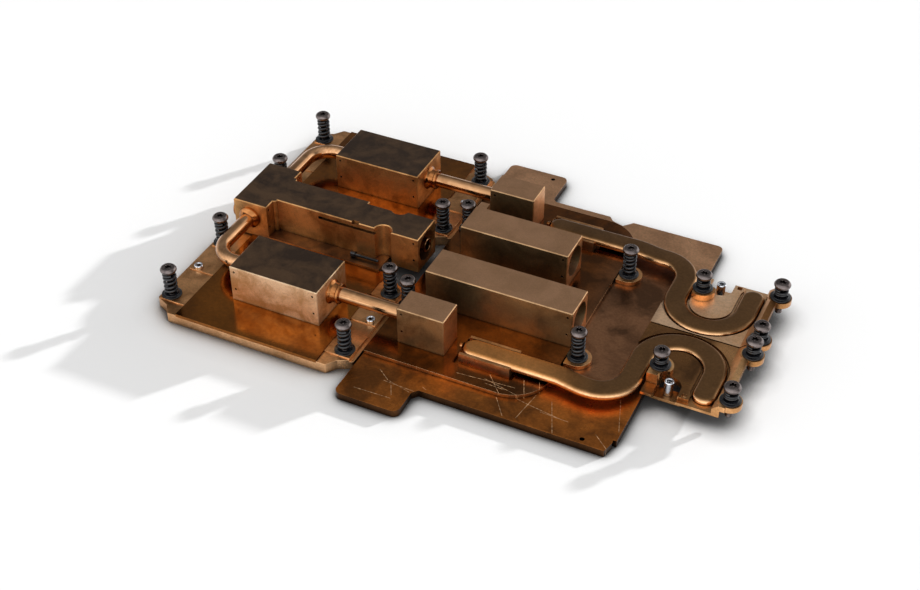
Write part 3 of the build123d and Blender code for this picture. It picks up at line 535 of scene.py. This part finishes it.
# The mid blocks' right-facing ends are lighter than their fronts: painted sunlight
middle_block_copper = copper(
    "middle_block_copper", (0.36, 0.250, 0.125), (0.19, 0.125, 0.060), (0.56, 0.315, 0.175),
    (0.44, 0.245, 0.130), 0.38, cloud=150.0, top_roughness=0.40,
    ends=((0.80, 0.44, 0.21), (0.55, 0.28, 0.12)),
)
plate_copper = copper(
    "plate_copper", (0.98, 0.58, 0.30), (0.66, 0.35, 0.155), (0.74, 0.38, 0.165),
    (0.34, 0.160, 0.060), 0.30, cloud=110.0, top_roughness=0.34,
)
# The two end plates are one copper in two copies: the front one's dark tops are painted shade and
# the rear one's light tops painted sunlight
front_end_copper_painted_shade = copper(
    "front_end_copper_painted_shade", (0.80, 0.42, 0.18), (0.52, 0.25, 0.09), (0.26, 0.120, 0.042),
    (0.13, 0.060, 0.022), 0.26, cloud=110.0, top_roughness=0.30,
    zones=(
        (0, 100.0, 104.0, (0.62, 0.32, 0.13), (0.42, 0.20, 0.075)),
        (2, 9.2, 10.5, (0.98, 0.58, 0.27), (0.74, 0.38, 0.15)),
    ),
)
rear_end_copper_painted_light = copper(
    "rear_end_copper_painted_light", (0.78, 0.40, 0.17), (0.50, 0.24, 0.09), (0.96, 0.64, 0.40),
    (0.76, 0.45, 0.24), 0.28, cloud=110.0, top_roughness=0.38,
    zones=(
        (0, 76.0, 70.0, (0.34, 0.20, 0.13), (0.24, 0.135, 0.08)),
        (2, 9.2, 10.5, (0.50, 0.25, 0.10), (0.30, 0.135, 0.045)),
    ),
)
cover_copper = copper(
    "cover_copper", (0.52, 0.20, 0.05), (0.34, 0.12, 0.025), (0.34, 0.120, 0.020),
    (0.19, 0.070, 0.015), 0.14, cloud=60.0, top_roughness=0.15,
)
# The lower plate's dark sides stand in for contact shadow, painted shade; its lighter tops toward
# the rear are a painted reflection
lower_copper = copper(
    "lower_copper", (0.13, 0.055, 0.020), (0.065, 0.028, 0.011), (0.62, 0.200, 0.036),
    (0.21, 0.074, 0.018), 0.24, cloud=80.0, top_roughness=0.31, scratches=SCRATCHES,
    zones=(
        (1, -41.0, -36.0, (0.37, 0.175, 0.085), (0.13, 0.060, 0.028)),
        (1, 44.0, 50.0, (0.80, 0.44, 0.24), (0.54, 0.29, 0.155)),
    ),
    raised=(3.5, (0.85, 0.46, 0.21), (0.60, 0.31, 0.13)),
)
# Toward the right the upper plate's tops turn greyer: a painted reflection
upper_copper = copper(
    "upper_copper", (0.52, 0.34, 0.19), (0.34, 0.21, 0.115), (0.27, 0.085, 0.017),
    (0.10, 0.036, 0.010), 0.24, cloud=80.0, top_roughness=0.20, scratches=SCRATCHES,
    zones=((0, 36.0, 62.0, (0.36, 0.180, 0.095), (0.13, 0.062, 0.030)),),
)
PIPE_COLOURS = (
    (0.78, 0.45, 0.23), (0.58, 0.31, 0.14), (0.215, 0.110, 0.044), (0.145, 0.073, 0.028),
)
# The front pipe's straight part has much lighter tops than the rear pipe: painted light
front_pipe_copper_painted_light = copper(
    "front_pipe_copper_painted_light", *PIPE_COLOURS, 0.22, top_roughness=0.34,
    zones=((0, 68.0, 38.0, (0.70, 0.31, 0.095), (0.48, 0.210, 0.062)),),
)
rear_pipe_copper = copper("rear_pipe_copper", *PIPE_COLOURS, 0.22, top_roughness=0.34)
tube_copper_x = drawn_tube(
    "tube_copper_x", (0.54, 0.30, 0.15), (0.29, 0.14, 0.06), 0.14, (drawn_stretch, 1, 1)
)
tube_copper_y = drawn_tube(
    "tube_copper_y", (0.64, 0.36, 0.19), (0.36, 0.18, 0.08), 0.14, (1, drawn_stretch, 1)
)
fitting_copper = drawn_tube(
    "fitting_copper", (0.46, 0.19, 0.065), (0.25, 0.095, 0.03), 0.14, (fitting_stretch, 1, 1)
)
screw_steel = steel("screw_steel", (0.20, 0.165, 0.155), (0.11, 0.092, 0.09), 0.24)
spring_steel = steel("spring_steel", (0.009, 0.0095, 0.012), (0.004, 0.004, 0.005), 0.16, 0.0)
bright_steel = steel("bright_steel", (0.80, 0.83, 0.88), (0.60, 0.62, 0.67), 0.16)


# Plates and blocks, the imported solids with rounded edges
for side in SIDES:
    is_front = side == "front"
    side_copper = left_block_copper if is_front else manifold_copper
    end_copper = front_end_copper_painted_shade if is_front else rear_end_copper_painted_light
    rounded_copy(f"{side}_left_base", edge, plate_copper)
    rounded_copy(f"{side}_left_cover", fine_edge, cover_copper)
    rounded_copy(f"{side}_block", fine_edge, side_copper)
    rounded_copy(f"small_{side}_block", fine_edge, middle_block_copper)
    rounded_copy(f"mid_{side}_block", fine_edge, middle_block_copper)
    rounded_copy(f"{side}_pipe_pad", fine_edge, plate_copper)
    rounded_copy(f"{side}_end_plate", edge, end_copper)
rounded_copy("centre_manifold", fine_edge, manifold_copper)
rounded_copy("lower_plate", edge, lower_copper)
rounded_copy("upper_plate", edge, upper_copper)

# Round tubes
for side, sign in SIDES.items():
    low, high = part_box(f"{side}_elbow_tube")
    head_y = high.y if sign < 0 else low.y
    corner = Vector((low.x + tube_r, sign * line_y, port_level))
    route = rounded_path(
        [Vector((corner.x, head_y, port_level)), corner, Vector((high.x, corner.y, port_level))],
        [elbow_bend_r],
    )
    bm = bmesh.new()
    sweep_section(bm, route, circle_section(tube_r))
    make_piece(bm, f"{side}_elbow", f"{side}_elbow_tube", tube_copper_y)

    low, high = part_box(f"{side}_link_tube")
    bm = bmesh.new()
    ends = [Vector((x, sign * line_y, port_level)) for x in (low.x, high.x)]
    sweep_section(bm, ends, circle_section(tube_r))
    make_piece(bm, f"{side}_link", f"{side}_link_tube", tube_copper_x)

low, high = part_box("inlet_tube")
inlet_place = along((low.x, 0, (low.z + high.z) / 2), (1, 0, 0))
bm = bmesh.new()
inlet_length = high.x - low.x
lip = 0.15 * mm
lathe(
    bm,
    [
        (tube_bore_r, 0), (tube_r, 0), (tube_r, inlet_length - lip), (tube_r - lip, inlet_length),
        (tube_bore_r + lip, inlet_length), (tube_bore_r, inlet_length - lip),
    ],
    inlet_place,
    loop=True,
)
make_piece(bm, "inlet", "inlet_tube", tube_copper_x)

# Ferrules, collars and plugs
for side, sign in SIDES.items():
    low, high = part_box(f"{side}_elbow_ferrule")
    face_y = high.y if sign < 0 else low.y
    centre_x = (low.x + high.x) / 2
    outer_r = (high.x - low.x) / 2
    depth = high.y - low.y
    bm = bmesh.new()
    lathe(
        bm,
        [
            (tube_r, 0), (outer_r, 0), (outer_r, depth * 0.45), (outer_r * 0.93, depth * 0.62),
            (outer_r * 0.86, depth * 0.7), (tube_r * 1.18, depth * 0.92), (tube_r, depth),
        ],
        along((centre_x, face_y, port_level), (0, sign, 0)),
        loop=True,
    )
    make_piece(bm, f"{side}_ferrule", f"{side}_elbow_ferrule", fitting_copper)

    low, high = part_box(f"{side}_link_collar")
    outer_r = (high.y - low.y) / 2
    depth = high.x - low.x
    bm = bmesh.new()
    lathe(
        bm,
        [
            (tube_r, 0), (outer_r, 0), (outer_r, depth * 0.08), (outer_r * 0.95, depth * 0.16),
            (outer_r * 0.84, depth * 0.24), (outer_r * 0.80, depth * 0.34),
            (outer_r * 0.80, depth * 0.72), (outer_r * 0.85, depth * 0.80),
            (outer_r * 0.85, depth * 0.92), (outer_r * 0.81, depth), (tube_r, depth),
        ],
        along((low.x, sign * line_y, port_level), (1, 0, 0)),
        loop=True,
    )
    make_piece(bm, f"{side}_collar", f"{side}_link_collar", fitting_copper)

low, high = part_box("manifold_plugs")
plug_r = (high.z - low.z) / 2
plug_level = (high.z + low.z) / 2
plug_bore_depth = 1.5 * mm
manifold_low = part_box("centre_manifold")[0]
plug_h = manifold_low.x - low.x
bm = bmesh.new()
for sign in SIDES.values():
    y = sign * (high.y - plug_r)
    lathe(
        bm,
        [
            (plug_r * 0.5, -plug_bore_depth), (plug_r * 0.5, 0), (plug_r, 0),
            (plug_r, plug_h * 0.35),
        ]
        + [
            (plug_r * math.cos(a), plug_h * (0.35 + 0.65 * math.sin(a)))
            for a in (math.pi * i / 20 for i in range(1, 10))
        ],
        along((manifold_low.x, y, plug_level), (-1, 0, 0)),
    )
make_piece(bm, "plugs", "manifold_plugs", fitting_copper)

# Heat pipes
for side, sign in SIDES.items():
    start = Vector((pipe_tip_x + pipe_w / 2, sign * line_y, pipe_level))
    stop_y = sign * (pipe_end_y - pipe_w / 2)
    jog_y = sign * line_y + pipe_jog_y
    arm_top = Vector((pipe_arm_x, sign * pipe_bend_y, pipe_level))
    route = rounded_path(
        [
            start,
            Vector((pipe_jog_x, start.y, pipe_level)),
            Vector((pipe_jog_x + pipe_jog_length, jog_y, pipe_level)),
            Vector((pipe_arm_x, jog_y, pipe_level)),
            arm_top,
        ],
        [pipe_jog_r, pipe_jog_r, pipe_arm_r],
    )
    bend_r = pipe_arm_span / 2
    for i in range(1, pipe_bend_steps + 1):
        a = math.pi * (1 - i / pipe_bend_steps)
        route.append(
            Vector(
                (
                    pipe_arm_x + bend_r + bend_r * math.cos(a),
                    arm_top.y - sign * bend_r * math.sin(a),
                    pipe_level,
                )
            )
        )
    route.append(Vector((pipe_arm_x + pipe_arm_span, stop_y, pipe_level)))
    bm = bmesh.new()
    rings = sweep_section(bm, route, slot_section(pipe_w, pipe_t), closed_ends=False)
    round_end(bm, rings[0], start, Vector((-1, 0, 0)))
    round_end(bm, rings[-1], route[-1], Vector((0, sign, 0)))
    tail = [
        (pipe_tail_r * 1.5, 0), (pipe_tail_r, 0.5 * mm), (pipe_tail_r, 1.2 * mm),
        (pipe_tail_r * 0.8, 1.55 * mm), (pipe_tail_r * 0.35, 1.75 * mm),
    ]
    lathe(bm, tail, along((pipe_tip_x, start.y, pipe_level), (-1, 0, 0)), count=24)
    finish = front_pipe_copper_painted_light if side == "front" else rear_pipe_copper
    make_piece(bm, f"{side}_pipe", f"{side}_heat_pipe", finish)

# Captive screws with springs, seats and clips
GROUPS = ("front_left", "rear_left", "middle", "front_end", "rear_end")
lobe_depth = 0.52 * mm
thread_pitch = 0.5 * mm
thread_depth = 0.16 * mm
thread_lead = 0.35 * mm
thread_turns = 8
coil_steps = 36
flat_turns = 0.85
flat_turn_rise = 2.05
spring_gap = 0.05 * mm
long_spring_h = 6 * mm
rise_ease = 0.25

# Springs by radius of the wire and number of turns, screws by the turn of their recess
long_spring = (0.64 * mm, 4.9)
short_spring = (0.52 * mm, 2.75)
first_turn = 11
turn_step = 37
wire_sides = 12
screw_sides = 72
seat_sides = 56
clip_sides = 40


def solid_centres(name):
    """The centres in plan of the separate solids of a node."""
    bm = bmesh.new()
    bm.from_mesh(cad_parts[name].data)
    bmesh.ops.remove_doubles(bm, verts=bm.verts, dist=merge_gap)
    left = set(bm.verts)
    centres = []
    while left:
        island = [left.pop()]
        for vertex in island:
            for around in vertex.link_edges:
                other = around.other_vert(vertex)
                if other in left:
                    left.remove(other)
                    island.append(other)
        xs = [v.co.x for v in island]
        ys = [v.co.y for v in island]
        centres.append(((min(xs) + max(xs)) / 2, (min(ys) + max(ys)) / 2))
    bm.free()
    return sorted(centres)


def head_profile():
    """The head from its underside, over its wide bevel, into the six-lobed recess."""
    top = head_top
    return [
        (screw_r, top - head_h), (head_r * 0.72, top - head_h),
        (head_r * 0.80, top - head_h * 0.93), (head_r * 0.95, top - head_h * 0.66),
        (head_r * 0.99, top - head_h * 0.52), (head_r, top - head_h * 0.44),
        (head_r * 0.985, top - head_h * 0.34), (head_r * 0.93, top - head_h * 0.22),
        (head_r * 0.84, top - head_h * 0.10), (head_r * 0.76, top - head_h * 0.03),
        (head_r * 0.68, top), (head_r * 0.50, top),
        (1.66 * mm, top - 0.03 * mm, 0.50 * mm),
        (1.56 * mm, top - 0.22 * mm, lobe_depth),
        (1.52 * mm, top - 1.35 * mm, lobe_depth), (0.8 * mm, top - 1.5 * mm),
        (0.2 * mm, top - 1.6 * mm),
    ]


def shank_profile(tip):
    """The shank from its tip, over its thread."""
    core_r = screw_r - thread_depth
    thread_start = tip + thread_lead
    points = [(screw_r * 0.55, tip), (core_r, thread_start)]
    for i in range(thread_turns):
        z = thread_start + thread_pitch * (i + 0.25)
        points += [(screw_r, z), (screw_r, z + 0.12 * mm), (core_r, z + thread_pitch * 0.55)]
    neck = tip + 0.5 * mm + thread_pitch * (thread_turns + 1)
    return points + [(screw_r - 0.05 * mm, neck)]


def seat_profile(bottom, top):
    """The flanged seat below a spring."""
    return [
        (seat_hole_r, bottom), (seat_r * 0.96, bottom), (seat_r, bottom + 0.12 * mm),
        (seat_r, bottom + 0.42 * mm), (seat_r * 0.97, bottom + 0.52 * mm),
        (seat_hub_r * 1.06, bottom + 0.56 * mm), (seat_hub_r, bottom + 0.64 * mm),
        (seat_hub_r, top - 0.1 * mm), (seat_hub_r * 0.97, top), (seat_hole_r, top),
    ]


def clip_profile(bottom, top):
    """The ring below the plate that holds a screw."""
    return [
        (clip_hole_r, bottom), (clip_r * 0.97, bottom), (clip_r, bottom + 0.1 * mm),
        (clip_r, top - 0.1 * mm), (clip_r * 0.97, top), (clip_hole_r, top),
    ]


def coil_path(bottom, top, turns, centre, wire_r):
    """A helix whose first and last turns lie flat, as on a ground spring."""
    points = []
    radius = spring_r - wire_r
    flat_rise = wire_r * flat_turn_rise
    for i in range(int(turns * coil_steps) + 1):
        turn = i / coil_steps
        inner = (turn - flat_turns) / (turns - 2 * flat_turns)
        rise = min(max(inner, 0), 1)
        rise = rise * rise * (3 - 2 * rise) * rise_ease + rise * (1 - rise_ease)
        ground = min(turn, flat_turns) / flat_turns * flat_rise
        crown = min(max(turns - turn, 0), flat_turns) / flat_turns * flat_rise
        z = bottom + wire_r + ground + rise * (top - bottom - 2 * wire_r - 2 * flat_rise)
        z += flat_rise - crown
        a = 2 * math.pi * turn
        points.append(
            Vector((centre[0] + radius * math.cos(a), centre[1] + radius * math.sin(a), z))
        )
    return points


for group in GROUPS:
    screw_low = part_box(f"{group}_screws")[0]
    seat_low, seat_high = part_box(f"{group}_spring_seats")
    clip_low, clip_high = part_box(f"{group}_retaining_clips")
    head_bottom = head_top - head_h
    wire_r, turns = long_spring if head_bottom - seat_high.z > long_spring_h else short_spring
    screws = bmesh.new()
    springs = bmesh.new()
    seats = bmesh.new()
    clips = bmesh.new()
    for number, (x, y) in enumerate(solid_centres(f"{group}_screws")):
        spin = Matrix.Rotation(math.radians(turn_step * number + first_turn), 4, "Z")
        place = Matrix.Translation((x, y, 0)) @ spin
        lathe(screws, shank_profile(screw_low.z) + head_profile(), place, screw_sides)
        route = coil_path(
            seat_high.z + spring_gap, head_bottom - spring_gap, turns, (x, y), wire_r
        )
        sweep_section(springs, route, circle_section(wire_r, wire_sides))
        lathe(seats, seat_profile(seat_low.z, seat_high.z), place, seat_sides, loop=True)
        lathe(clips, clip_profile(clip_low.z, clip_high.z), place, clip_sides, loop=True)
    for kind, bm, slot, finish in (
        ("screws", screws, "screw", screw_steel),
        ("springs", springs, "spring", spring_steel),
        ("spring_seats", seats, "spring", spring_steel),
        ("retaining_clips", clips, "spring", spring_steel),
    ):
        name = f"{group}_{kind}"
        make_piece(bm, name + "_fine", name, finish)

# Nuts on the ledges, and the standoffs of the end plates
nut_bore_r = 1.0 * mm
for side, sign in SIDES.items():
    low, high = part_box(f"{side}_left_nuts")
    nut_r = (high.y - low.y) / 2
    bm = bmesh.new()
    for x in (low.x + nut_r, high.x - nut_r):
        lathe(
            bm,
            [
                (nut_bore_r, low.z, -1), (nut_r, low.z), (nut_r, high.z - 0.25 * mm),
                (nut_r - 0.2 * mm, high.z), (1.25 * mm, high.z),
                (nut_bore_r, high.z - 0.2 * mm, -1),
            ],
            Matrix.Translation((x, sign * line_y, 0)),
            loop=True,
        )
    make_piece(bm, f"{side}_nuts", f"{side}_left_nuts", bright_steel)

    low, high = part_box(f"{side}_end_standoff")
    standoff_r = (high.x - low.x) / 2
    bm = bmesh.new()
    lathe(
        bm,
        [
            (nut_bore_r, low.z), (standoff_r - 0.2 * mm, low.z), (standoff_r, low.z + 0.2 * mm),
            (standoff_r, high.z - 0.25 * mm), (standoff_r - 0.22 * mm, high.z),
            (1.35 * mm, high.z), (1.22 * mm, high.z - 0.15 * mm, 0.3 * mm),
            (1.2 * mm, high.z - 1.2 * mm, 0.3 * mm), (nut_bore_r, high.z - 1.3 * mm),
        ],
        Matrix.Translation(((low.x + high.x) / 2, (low.y + high.y) / 2, 0)),
        loop=True,
    )
    make_piece(bm, f"{side}_standoff", f"{side}_end_standoff", bright_steel)

# Small screw on the flange of the manifold
low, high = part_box("clamp_screw")
clamp_r = (high.y - low.y) / 2
clamp_place = along((low.x, (low.y + high.y) / 2, (low.z + high.z) / 2), (1, 0, 0))
bm = bmesh.new()
clamp_head = 2.2 * mm
clamp_shank_r = 0.75 * mm
clamp_plain = 2.4 * mm
clamp_end = high.x - low.x
clamp_pitch = 0.35 * mm
clamp_depth = 0.12 * mm
thread_start = clamp_head + clamp_plain
profile = [
    (0.15 * mm, 1.2 * mm), (0.8 * mm, 1.15 * mm, -1), (0.85 * mm, 0.05 * mm, -1), (1.0 * mm, 0),
    (clamp_r - 0.15 * mm, 0), (clamp_r, 0.15 * mm), (clamp_r, clamp_head),
    (clamp_shank_r, clamp_head), (clamp_shank_r, thread_start),
]
while thread_start < clamp_end - 2 * clamp_pitch:
    profile += [
        (clamp_shank_r - clamp_depth, thread_start + clamp_pitch * 0.3),
        (clamp_shank_r, thread_start + clamp_pitch * 0.7),
        (clamp_shank_r, thread_start + clamp_pitch * 0.9),
    ]
    thread_start += clamp_pitch
profile += [(clamp_shank_r - 0.1 * mm, clamp_end - 0.3 * mm), (clamp_shank_r * 0.6, clamp_end)]
lathe(bm, profile, clamp_place, count=36)
make_piece(bm, "clamp_screw_fine", "clamp_screw", spring_steel)

# Floor, pale, with a painted contact shadow where the part is close to it
floor_reach = 6.0
painted_shadow_reach = 14 * mm
painted_shadow_samples = 12
floor_mesh = bpy.data.meshes.new("floor")
floor_mesh.from_pydata(
    [(x * floor_reach, y * floor_reach, 0) for x, y in ((-1, -1), (1, -1), (1, 1), (-1, 1))],
    [],
    [(0, 1, 2, 3)],
)
floor = bpy.data.objects.new("floor", floor_mesh)
collection.objects.link(floor)
floor_finish, tree, shader = nodes_of("floor_white")
# Ambient occlusion darkens the floor near the part: painted contact shadow
pale_with_painted_shadow = remap(tree, openness(tree, painted_shadow_reach, painted_shadow_samples), 0.55, 0.95, 0.06, 0.82)
grey = node(tree, "CombineColor", {0: pale_with_painted_shadow, 1: pale_with_painted_shadow, 2: pale_with_painted_shadow}).outputs[0]
tree.links.new(grey, shader.inputs["Base Color"])
shader.inputs["Roughness"].default_value = 0.7
shader.inputs["Specular IOR Level"].default_value = 0.2
dress(floor, floor_finish)

# Light: a low soft sun from the right and behind, which no gloss mirrors, and a pale sky
# that is lighter in front, near the horizon, on the sun's side and straight above
sun_way = Vector((0.98, 1.36, 0.473)).normalized()
sun_strength = 3.5
sun_width = 1.8
sky_strength = 0.26
sky_front = 1.5
sky_horizon = 0.45
sky_lobe = 1.6
sky_overhead = 0.45
sun_data = bpy.data.lights.new("key", "SUN")
sun_data.energy = sun_strength
sun_data.angle = math.radians(sun_width)
sun = bpy.data.objects.new("key", sun_data)
sun.rotation_euler = (-sun_way).to_track_quat("-Z", "Y").to_euler()
sun.visible_glossy = False
collection.objects.link(sun)

world = bpy.data.worlds.new("studio")
bpy.context.scene.world = world
world.use_nodes = True
tree = world.node_tree
background = tree.nodes["Background"]
way = node(tree, "TexCoord").outputs["Generated"]
facing = vector_math(tree, "DOT_PRODUCT", {0: way, 1: sun_way})["Value"]
parts = node(tree, "SeparateXYZ", {0: way}).outputs
front = remap(tree, parts[1], 0.10, -0.75, 0.0, sky_front)
horizon = remap(tree, parts[2], 0.42, 0.05, 0.0, sky_horizon)
lobe = remap(tree, facing, 0.80, 1.0, 0.0, sky_lobe)
overhead = remap(tree, parts[2], 0.72, 1.0, 0.0, sky_overhead)
sky = math_node(tree, "ADD", math_node(tree, "ADD", front, horizon), lobe)
sky = math_node(tree, "ADD", sky, overhead)
tree.links.new(math_node(tree, "ADD", sky, sky_strength), background.inputs["Strength"])
background.inputs["Color"].default_value = rgb(1, 1, 1)

# Camera at the photograph's place: lens in millimetres, tilt and turn in degrees
camera_place = (202.2 * mm, -455.7 * mm, 405.5 * mm)
camera_tilt = 50.675
camera_turn = 25.369
camera_lens = 58.03
camera_data = bpy.data.cameras.new("camera")
camera_data.lens = camera_lens
camera_data.sensor_width = 36.0
camera = bpy.data.objects.new("camera", camera_data)
camera.location = camera_place
camera.rotation_euler = (math.radians(camera_tilt), 0, math.radians(camera_turn))
camera_data.clip_start = 0.01
camera_data.clip_end = 20
collection.objects.link(camera)
bpy.context.scene.camera = camera

bpy.context.scene.view_settings.view_transform = "Standard"
